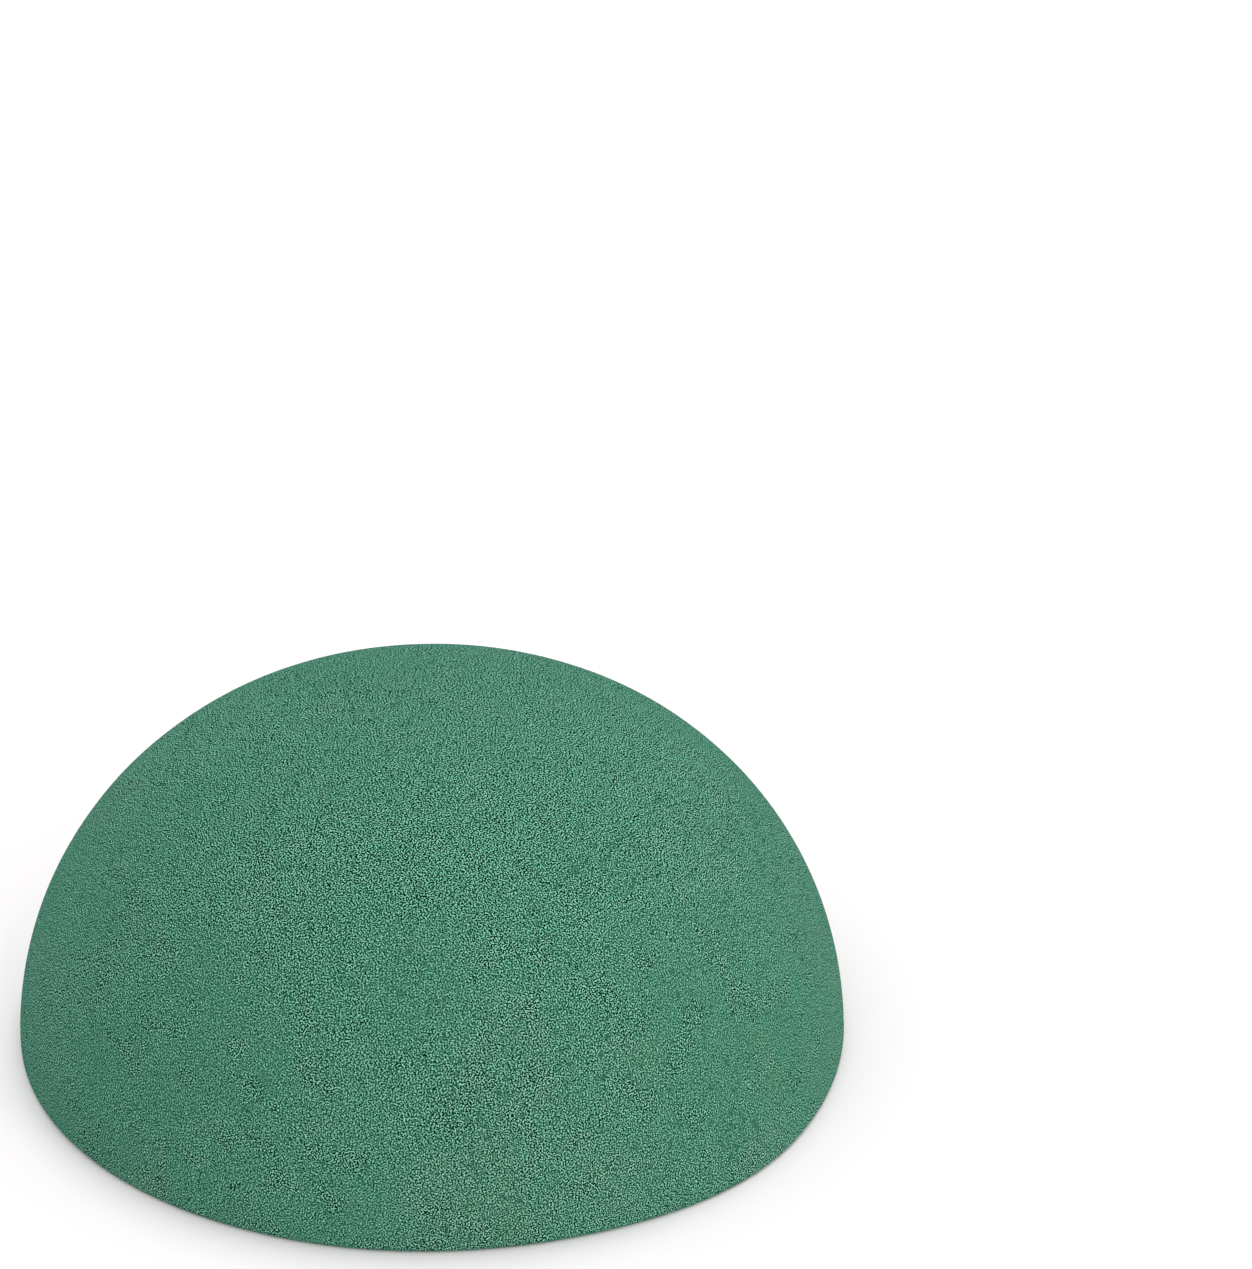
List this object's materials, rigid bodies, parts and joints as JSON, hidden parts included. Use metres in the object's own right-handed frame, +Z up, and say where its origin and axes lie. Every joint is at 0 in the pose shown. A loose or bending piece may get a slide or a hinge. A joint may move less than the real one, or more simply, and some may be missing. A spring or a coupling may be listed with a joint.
{
  "type": "floral foam half ball",
  "caption": "Low half ball of green floral foam on a flat underside, with a thin waterproof backing plate bonded into it.",
  "frame": {"origin": "middle of the flat underside, on the surface that the half ball stands on", "axes": "+Z up the dome's axis to its crown; X and Y lie in the underside, and any direction is alike"},
  "size_m": [0.19, 0.19, 0.084],
  "materials": {
    "foam": "open-cell phenolic foam, dead matt, fine sandy grain",
    "backing": "formed polystyrene sheet, satin",
    "adhesive": "hot-melt adhesive, cloudy amber"
  },
  "bodies": {
    "root": {"foam_dome": "foam", "backing_plate": "backing", "adhesive_ring_outer": "adhesive", "adhesive_ring_inner": "adhesive"}
  },
  "joints": []
}
